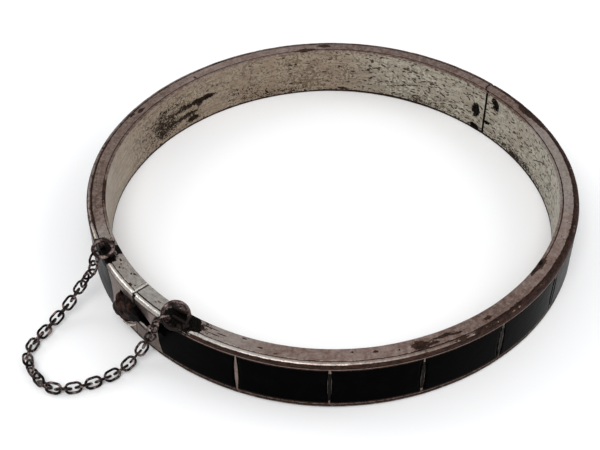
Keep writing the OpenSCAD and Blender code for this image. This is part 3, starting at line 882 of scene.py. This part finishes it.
# Scorched patches on the top face by the rings, with painted shade inside the rings
BURNS = {
    FRONT: [
        (6.9, 1.35, 1.9, 1.5), (8.7, 1.35, 0.8, 0.8), (9.6, 0.9, 0.5, 0.3), (57.5, 2.2, 0.35, 0.22),
        (55.7, 2.3, 0.25, 0.14),
    ],
    BACK: [(9.0, 0.85, 1.3, 1.1), (8.6, 0, 1.7, 0.8), (7.0, 0.75, 0.9, 0.7), (7.6, 2.2, 0.7, 0.3)],
}  # fmt: skip
# Dark marks on the inner wall: s, z, half length, half height, lean
INNER_STAINS = {
    FRONT: [*PITS[FRONT], (89.6, 0.7, 1.6, 0.25, 0.3), (83.0, 0.2, 9.0, 0.2, 0)],
    BACK: [
        *PITS[BACK], (61.0, 1.2, 0.2, 0.35, -0.6), (73.5, 0.7, 0.75, 0.2, 0), (47.5, 1.2, 1, 0.36, 0),
        (50.1, 3.75, 1.5, 0.36, 0), (48.9, 3.3, 0.5, 0.6, 0), (82.6, 0.2, 9.0, 0.2, 0),
    ],
}  # fmt: skip
# Broken tarnish on the inner wall: s, z, half length, half height, how dense
MOTTLED = {
    FRONT: [(91.5, 0.8, 4.5, 0.8, 0.5), (83.5, 0.8, 5.0, 0.8, 0.42)],
    BACK: [
        (46.2, 3.75, 2.6, 0.5, 0.8), (46.6, 2.3, 2.2, 0.45, 0.8), (43.4, 2.9, 0.9, 1.3, 0.35),
        (50.1, 3.75, 1.6, 0.4, 1.2), (47.5, 1.2, 1.1, 0.4, 1.2), (42.6, 1.4, 2.2, 1.3, 0.36),
        (41.0, 3.4, 1.6, 2.0, 0.46), (38.4, 3.4, 3.0, 2.0, 0.26), (44.0, 5.2, 2.6, 0.6, 0.4),
        (62.0, 0.8, 8.0, 0.7, 0.4), (57.0, 2.6, 4.0, 1, 0.34), (88.0, 0.7, 7.0, 0.7, 0.42),
    ],
}  # fmt: skip
# The same on the top face, with depth for z
TOP_MOTTLED = {FRONT: [(10.0, 1.5, 1.5, 1.1, 0.5)], BACK: []}
# A wide, faint brown cloud on the inner wall, as in MOTTLED
CLOUDED = {FRONT: [], BACK: [(39.5, 2.8, 3.4, 3.2, 0.4)]}
# Thin scratches on the inner wall: s and z of both ends, then how far the middle bows up
SCRATCHES = {
    FRONT: [(84.8, 3.1, 80.2, 5.3, 0.28)],
    BACK: [(76.8, 4.0, 79.9, 5.1, 0.05), (81.4, 2.05, 87.0, 3.5, 0.1)],
}  # fmt: skip
# The silver between two stones, from the clasp to the hinge: how dark its hollow middle is, and its edges
DIVIDERS = {
    FRONT: [(0, 0.1), (1, 0), (0.7, 0.5), (1, 0.8), (1, 0.8), (0.5, 0.4), (0.5, 0.4)],
    BACK: [(0.4, 0.3), (0.5, 0.2), (0.3, 0.4), (0.5, 0.3), (0.6, 0.3), (0.3, 0.4), (0.4, 0.3)],
}
# What changes from the clasp to the hinge, as pairs of s and amount: the added width of the groove by the
# lip, brown on the lip, the flat pinkish tone of the top face, pits and flecks of the inner wall, the brown
# line beside the inner edge, brown under the lip, the lip rubbed bright with a painted highlight on it, worn
# face, brown edge of the lip. Before the first and after the last pair the amount stays the same.
LEVELS = {
    FRONT: {
        "groove": [(8, 0.055), (11, 0), (44, 0), (50, 0.1), (70, 0.08), (88, 0.05), (98, 0)],
        "lip_dark": [
            (30, 0), (38, 0.3), (44, 0.6), (50, 0.9), (61, 0.9), (70, 0.75), (88, 0.85), (98, 0.75),
        ],
        "tone": [
            (0, 0), (5, 0.1), (8, 0.6), (13, 0.5), (20, 0.95), (26, 1), (66, 0.9), (72, 0.5), (86, 0.5),
            (89, 0.95), (98, 1),
        ],
        "pitting": [(0, 0), (60, 0.2), (70, 0.4), (78, 0.76), (97, 0.86)],
        "flecks": [(0, 0.2), (98, 0.5)],
        "seam": [(52, 0), (64, 1)],
        "under_lip": [(0, 0.05), (7, 0.2), (10, 0.8), (15, 1.1)],
        "lip_rub_and_highlight": [(5, 0.9), (7, 0.2), (9, 0.9), (18, 0.6), (24, 0.35), (34, 0.25), (40, 0.1), (98, 0)],
        "worn": [
            (0, 0), (12, 0.1), (22, 0.35), (30, 0.1), (40, 0.6), (46, 1), (53, 0.5), (66, 0), (87, 0),
            (90, 0.6), (94, 0.8), (98, 0.6),
        ],
        "edge_brown": [(9, 0), (20, 0.2), (30, 0.4), (42, 1)],
    },
    BACK: {
        "groove": [(10, 0), (14, 0.09), (24, 0.06), (34, 0)],
        "lip_dark": [
            (0, 0), (7, 0.1), (9, 0.8), (11, 0.3), (14, 0.4), (35, 0.4), (45, 0.35), (70, 0.35), (98, 0.4),
        ],
        "tone": [(0, 0.05), (3, 0.15), (6, 0.4), (9, 0.8), (11, 0.4), (14, 0.9), (98, 0.95)],
        "pitting": [(33, -0.3), (36, 0.1), (50, 0), (70, 0.05), (80, 0.5), (87, 0.8), (98, 0.82)],
        "flecks": [(0, 0), (30, 0.1), (35, 0.8), (46, 0.9), (52, 0.5), (58, 0.8), (72, 0.9), (98, 0.5)],
        "seam": [(0, 0), (12, 0.5), (40, 0.8), (98, 0.9)],
        "under_lip": [(0, 0), (5, 0.2), (8, 0.6), (98, 0.9)],
        "lip_rub_and_highlight": [(0, 0.8), (5, 0.7), (7, 0.2), (98, 0)],
        "worn": [
            (0, 0), (12, 0.2), (16, 1.2), (22, 1.2), (28, 0.8), (34, 1), (41, 0.9), (50, 0.1), (64, 0.1),
            (74, 0.8), (90, 0.8), (98, 0.6),
        ],
        "edge_brown": [(0, 0), (7, 0.2), (11, 0.9), (15, 1.4), (40, 1.3), (50, 1)],
    },
}  # fmt: skip


def spot_amount(u, v):
    """1 inside an oval patch of unit size, falling to 0 at nearly twice its size."""
    return 1 - ease(np.hypot(u, v), 0.15, 1.9)


def paint_band(mesh, side):
    """Paints one half for its finishes. along is the place as s, depth and z, and row the s from the edge of
    its second stone. stain is brown tarnish with painted shade in the gaps under the outer wall, mottle
    broken tarnish, burn black heat marks with painted shade in the split, round the knuckle, in the slot and
    inside the rings, soot how much darker the rings' wire and solder are, most towards their lower part, and
    hollow the dark middle of the silver between stones. tone is how flat the outside is and how flecked the
    inner wall is, age how worn, sides the painted shade on the outer wall and above 1 its darker brown part
    by the slot, shine is where it is rubbed bright and where a highlight is painted, and pitting is how dense
    the pits are."""
    points = place_on(mesh)
    z = points[:, 2]
    s, depth = unwall(points, side)
    top, outer = ease(z, 7.1, 7.22), 1 - ease(depth, 0.1, 0.5)
    inner = ease(depth, *INNER_FROM) * (1 - ease(z, *TOP_FROM))
    patchy, ragged = grain(points, 1.3, 41), grain(points, 0.45, 42)

    def at(*pairs):
        return np.interp(s, *zip(*pairs))

    def patches(table, across, weighed=False):
        """Sum of a table's patches on this half; their last value is a weight, or else a lean."""
        total = 0 * s
        for s0, middle, long, wide, *last in table[side]:
            lean, weight = (0, *last) if weighed else (*(last or [0]), 1)
            v = across - middle
            total += weight * spot_amount((s - s0 - lean * v) / long, v / wide)
        return total

    level = {name: at(*pairs) for name, pairs in LEVELS[side].items()}
    tone, seam, lip_dark = level["tone"], level["seam"], level["lip_dark"]

    mottle = patches(MOTTLED, z, True) * inner + patches(TOP_MOTTLED, depth, True) * top
    stain = 1.05 * ridge(depth, LIP_GROOVE, 0.06 + level["groove"]) * top
    stain += patches(TOP_STAINS, depth) * top
    stain += (patches(INNER_STAINS, z) + patches(CLOUDED, z, True)) * inner
    for s0, z0, s1, z1, bow in SCRATCHES[side]:
        t = (s - s0) / (s1 - s0)
        line = z0 + (z1 - z0) * t + 4 * bow * t * (1 - t)
        stain += 1.1 * ridge(z, line, 0.09) * (np.abs(t - 0.5) < 0.5) * inner
    burn = 1.3 * (patches(BURNS, depth) * ease(z, 5.9, 6.4) + patches(PITS, z) * inner)
    burn += 1.2 * (s > END[side] - 0.13) * inner

    # Either side of the split, and the walls of the slot: painted highlights on the lip and the edges, which
    # are partly rubbed bright metal, and painted shade on the outer wall, in the split, round the knuckle and
    # in the slot
    # Painted highlight along the top of the lip, partly rubbed bright metal
    shine = (depth < 0.5) * ease(z, 7.17, 7.23) * level["lip_rub_and_highlight"]
    # Painted shade on the outer wall
    sides = outer * (1 - ease(z, 6.7, 7.0))
    if side == FRONT:
        tone = np.maximum(tone, (depth < LIP_DEPTH) * (s > 60))
        # Painted highlight along the slot's lower edge, partly rubbed bright metal
        shine += 0.8 * outer * ridge(z, 3.2, 0.13) * at((0, 1), (2.6, 0.7), (3.2, 0))
        under_slot = ridge(z, 2.92 - 0.14 * s, 0.15) * at((2.6, 1), (3, 0))
        stain += 1.1 * outer * under_slot
        # Painted shade in the split and at the slot's upper edge
        burn += 1.2 * outer * (s < 0.48) * (z > 3) + 1.3 * top * (s < 0.2)
        burn += 0.9 * outer * spot_amount((s - 0.75 - 0.5 * (6.2 - z)) / 0.55, (z - 5.0) / 0.95)
        # Above 1 the painted wall shade turns to a darker brown above the slot and, less, below it
        brown_wall = ease(z, 4.6, 5.2) + 0.3 * (z < 2.9)
        sides = sides * (1 + brown_wall * at((0, 0.8), (0.6, 1), (2.6, 1), (3.05, 0)))
        # Ring wire and solder darker towards the bottom
        soot = 1 - ease(z, 7.7, 8.5)
    else:
        # Painted highlight on the back half's end bevel, partly rubbed bright metal
        shine += 0.4 * top * (s < 0.34)
        # Black in the end groove, and painted shade in the split and round the knuckle
        burn += top * (0.45 * ridge(s, END_GROOVE, 0.06) * (depth > 0.6) + 1.3 * (s < 0.14))
        from_pin = np.hypot(*(points[:, :2] - pin_frame(np.zeros((1, 2)))[0]).T)
        burn += (from_pin < KNUCKLE_R + GAP + 0.06) * top
        from_ring = np.hypot(*(points[:, :2] - BACK_RING[0][:2]).T)
        # Ring wire and solder darker towards the bottom and about the ring's middle
        soot = 0.3 * (1 - ease(z, 7.5, 7.9)) + 1 - ease(from_ring, 0.8, 0.95)
    shine = shine.clip(0, 1)
    # Painted shade inside the slot and the clasp's box
    slot_shade = ease(depth, 0.16, 0.3) * (depth < 2.1) * (s < 4.2) * (z > 0.6) * (z < 6.8)
    burn += 1.3 * slot_shade

    # The silver between the stones
    hollow = 0 * s
    up = np.abs(z - MID_Z)
    for k, (dark, dirt) in enumerate(DIVIDERS[side], 1):
        here = (np.abs(s - stone_edge(side, k)) < 0.6) * outer
        hollow += 1.2 * dark * here * (1 - ease(up, 2.0, 2.5))
        stain += dirt * here * (0.5 + 0.4 * patchy) * (up < 2.85)

    # Brown along the edges, which rubbing takes off, darker towards the bottom, and painted shade in the gaps
    # under the outer wall
    stain += (0.16 * lip_dark + 1.25 * seam * ridge(depth, INNER_GROOVE + 0.02, 0.07)) * top
    near_lip = ease(0.72 + 0.22 * patchy - depth, 0.0, 0.25) * (z > 6.9)
    stain += near_lip * lip_dark * (0.85 + 0.5 * patchy + 0.3 * ragged)
    stain += level["under_lip"] * outer * ease(z, 6.6, 6.66) * (1 - ease(z, 7.13, 7.21))
    lines = (ridge(z, LINE_Z, 0.08) + ridge(z, BAND_H - LINE_Z, 0.14)) * outer
    stain += lines * (0.7 + 0.3 * ragged) + 0.3 * outer * (z < 1.0)
    stain += 0.5 * ease(-z, -0.5, -0.1) + 0.9 * ridge(z, 0.1, 0.2) * ease(depth, 2.1, 2.2)
    # Painted shade in the gaps under the outer wall
    gap_shade = ease(depth, 0.1, 0.2) * (depth < 2.1) * (z > 0.3) * (z < 7.0)
    stain = stain * (1 - 0.7 * shine) + 1.2 * gap_shade

    lip_edge = (1 - ease(depth, 0.5, LIP_DEPTH)) * ease(z, LIP_Z, 7.0)
    age = np.maximum(level["worn"] + 2.0 * level["edge_brown"] * lip_edge, 0.5 * outer * (z < 6.9))
    age += 0.8 * seam * ease(depth, 1.95, 2.05) * top
    tone = np.where(inner > 0.5, level["flecks"], np.maximum(tone, 0.85 * outer * (z < 6.9)))
    row = s - stone_edge(side, 1)
    paint(mesh, mottle=mottle, sides=sides, age=age, row=row, hollow=hollow, soot=soot)
    paint(mesh, stain=stain, tone=tone, burn=burn, shine=shine, pitting=level["pitting"])
    place = np.stack([s, depth, z], -1).astype(np.float32)
    mesh.attributes.new("along", "FLOAT_VECTOR", "POINT").data.foreach_set("vector", place.ravel())


def paint_stone(mesh, side, k):
    """Paints stone k: edge is the dirt along its edges, and film how much painted grey sheen stands in for
    its reflection.
    """
    points = place_on(mesh)
    s, z = unwall(points, side)[0], points[:, 2]
    along = np.minimum(s - stone_edge(side, k), stone_edge(side, k + 1) - s)
    rim = np.minimum(along, STONE_H / 2 - np.abs(z - MID_Z))
    # Painted grey sheen, which stands in for the reflection at the ends of the rows
    if side == FRONT:
        film = ease(s, 55, 63) - ease(s, 68, 80)
    else:
        film = (0.45 + 0.55 * ease(s, 7, 10)) * (1 - ease(s, 12, 17))
        film *= 1 - ease(z, 5.2, 6.0) * ease(s, 5.6, 6.6)
    paint(mesh, edge=1 - ease(rim, 0.0, 0.35), film=film)


# Pieces

SILVER, RINGS, DARK = silver_finish(), ring_finish(), dark_finish()
THUMB, STONE = thumb_finish(), stone_finish()
LIP = plain_finish("lip_silver", 4.0, (0.35, 0.65), (0.26, 0.21, 0.17), (0.68, 0.6, 0.53), 0.05, 0.2)
PIN = plain_finish("pin_silver", 3.0, (0.3, 0.7), (0.08, 0.055, 0.045), (0.3, 0.26, 0.24), 0.02, 0.3)


def add_piece(name, skin, finish, slot, body, *nodes, sharp=35):
    piece = make_object(name, skin, sharp)
    piece.data.materials.append(finish)
    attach(piece, body)
    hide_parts(*nodes)
    return piece


def add_band(name, node, side, steps, trim):
    """One half with its rings and solder, which are the faces after the carved ones."""
    carved = welded(carve(band_skin(side), steps))
    piece = add_piece(name, joined([carved, *trim]), SILVER, "band_silver", "bangle", node)
    refinish(piece, RINGS, len(carved[1]))
    paint_band(piece.data, side)


def pockets(side):
    return [stone_skin(side, k, STONE_GAP) for k in range(STONE_COUNT)]


def cuts(*tools):
    return [("DIFFERENCE", tool) for tool in tools]


# The clasp's box in the front half, in three steps from the tongue's room up to the pad's neck
box_end = TONGUE_LEN + 0.2
clasp_box = [
    swept_box(np.linspace(-0.5, box_end, 24), (1.06, 1.92), BOX_Z, FRONT),
    swept_box(np.linspace(0.5, box_end, 22), (0.92, 1.3), BOX_Z, FRONT),
    swept_box(np.linspace(0.5, 3.0, 12), (0.5, 1.3), BOX_Z, FRONT),
    through_wall(SLOT, [-1, 0.3, 1.2], FRONT),
]
front_steps = [("UNION", knuckle(0)), ("UNION", knuckle(2))]
front_steps += cuts(knuckle_room(1), PIN_BORE, *pockets(FRONT), *clasp_box)
back_steps = [("UNION", knuckle(1))]
back_steps += cuts(knuckle_room(0), knuckle_room(2), PIN_BORE, *pockets(BACK), pad_hollow())
front_trim = [
    wire_ring(*FRONT_RING, RING_WIRE, 11),
    lump((-29.35, -7.93, 7.25), (0.55, 0.5, 0.42), 12),
    lump((-29.95, -7.6, 7.2), (0.42, 0.45, 0.36), 13),
    fillet(FRONT, (4.7, 8.1), 2.0, 7.72, 0.46, 21),
    fillet(FRONT, (6.0, 8.3), 1.0, 7.3, 0.3, 22),
]
back_trim = [
    wire_ring(*BACK_RING, RING_WIRE, 14),
    lump((-29.35, 8.8, 7.6), (0.55, 0.55, 0.5), 15),
    lump((-29.3, 6.9, 7.4), (0.46, 0.44, 0.4), 16),
    swept_box(np.linspace(-0.6, TONGUE_LEN, 20), (1.52, 1.82), STILL_LEAF_Z, FRONT),
]
add_band("front_band_metal", "front_band", FRONT, front_steps, front_trim)
add_band("back_band_metal", "back_band", BACK, back_steps, back_trim)

for side, half in ((FRONT, "front"), (BACK, "back")):
    for k in range(STONE_COUNT):
        node = f"{half}_stone_{k + 1}"
        stone = add_piece(node + "_polished", stone_skin(side, k), STONE, "black_stone", "bangle", node)
        paint_stone(stone.data, side, k)

parts = thumb_skins()
thumb = add_piece("thumb_piece_worn", joined(parts), THUMB, "dark_silver", "thumb", "thumb_piece", sharp=75)
refinish(thumb, LIP, -len(parts[-1][1]))
s, depth = unwall(place_on(thumb.data), BACK)
paint(thumb.data, shade=np.maximum(ease(0.4 - s, 0, 1.0), depth > -0.12))

for node, *ring in (
    ("jump_ring_left", (-31.17, 7.4, 7.64), 286, 0, JUMP_R, JUMP_WIRE, 17),
    ("jump_ring_right", (-31.16, -6.1, 8.09), 245, -26, JUMP_R, JUMP_WIRE, 18),
):
    add_piece(node + "_wire", wire_ring(*ring), DARK, "dark_silver", "bangle", node)
links = joined(chain_skins())
add_piece("safety_chain_links", links, DARK, "dark_silver", "bangle", "safety_chain", sharp=80)
pin_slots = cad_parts["hinge_pin"].data.materials
pin_slots.clear()
pin_slots.append(PIN)

# Floor, light and camera

bpy.ops.mesh.primitive_plane_add(size=6)
floor = bpy.context.object
floor.name = "floor"
floor.data.materials.append(floor_finish())

world = bpy.data.worlds.new("studio")
bpy.context.scene.world = world
world.use_nodes = True
sky = world.node_tree.nodes["Background"].inputs
sky["Color"].default_value = (0.97, 0.98, 1.0, 1)
sky["Strength"].default_value = 0.62


def softbox(name, place, aim, size, power):
    """A square lamp at a place, turned to face a point; both in metres."""
    data = bpy.data.lights.new(name, "AREA")
    data.shape, data.size, data.energy = "SQUARE", size, power
    lamp = bpy.data.objects.new(name, data)
    bpy.context.scene.collection.objects.link(lamp)
    lamp.location = place
    lamp.rotation_mode = "QUATERNION"
    lamp.rotation_quaternion = (Vector(aim) - Vector(place)).to_track_quat("-Z", "Y")


softbox("key", (-0.25, -0.2, 0.45), (0, 0, 0), 0.3, 1.5)
softbox("fill", (0.35, -0.3, 0.35), (0, 0, 0), 0.35, 0.8)
softbox("back", (-0.25, 0.6, 0.45), (0, 0, 0), 0.4, 1.2)

data = bpy.data.cameras.new("camera")
data.sensor_width, data.lens = 36, 66.96
data.clip_start, data.clip_end = 0.005, 20
camera = bpy.data.objects.new("camera", data)
bpy.context.scene.collection.objects.link(camera)
bpy.context.scene.camera = camera

# The camera looks at a point in millimetres from a distance, turned from the y axis and tilted down
LOOK_AT, DISTANCE = np.array([-3.79, 1.96, 0]), 147.1
turn, tilt, roll = math.radians(41), math.radians(42.8), math.radians(-0.2)
right = np.array([math.cos(turn), -math.sin(turn), 0])
level = np.array([math.sin(turn), math.cos(turn), 0])
ahead = math.cos(tilt) * level - math.sin(tilt) * np.array([0, 0, 1])
up = np.cross(right, ahead)
right, up = math.cos(roll) * right + math.sin(roll) * up, math.cos(roll) * up - math.sin(roll) * right
eye = LOOK_AT - DISTANCE * ahead
matrix = np.eye(4)
matrix[:3, :3] = np.column_stack([right, up, -ahead])
matrix[:3, 3] = eye * MM
camera.matrix_world = Matrix(matrix.tolist())

bpy.context.scene.view_settings.view_transform = "Standard"
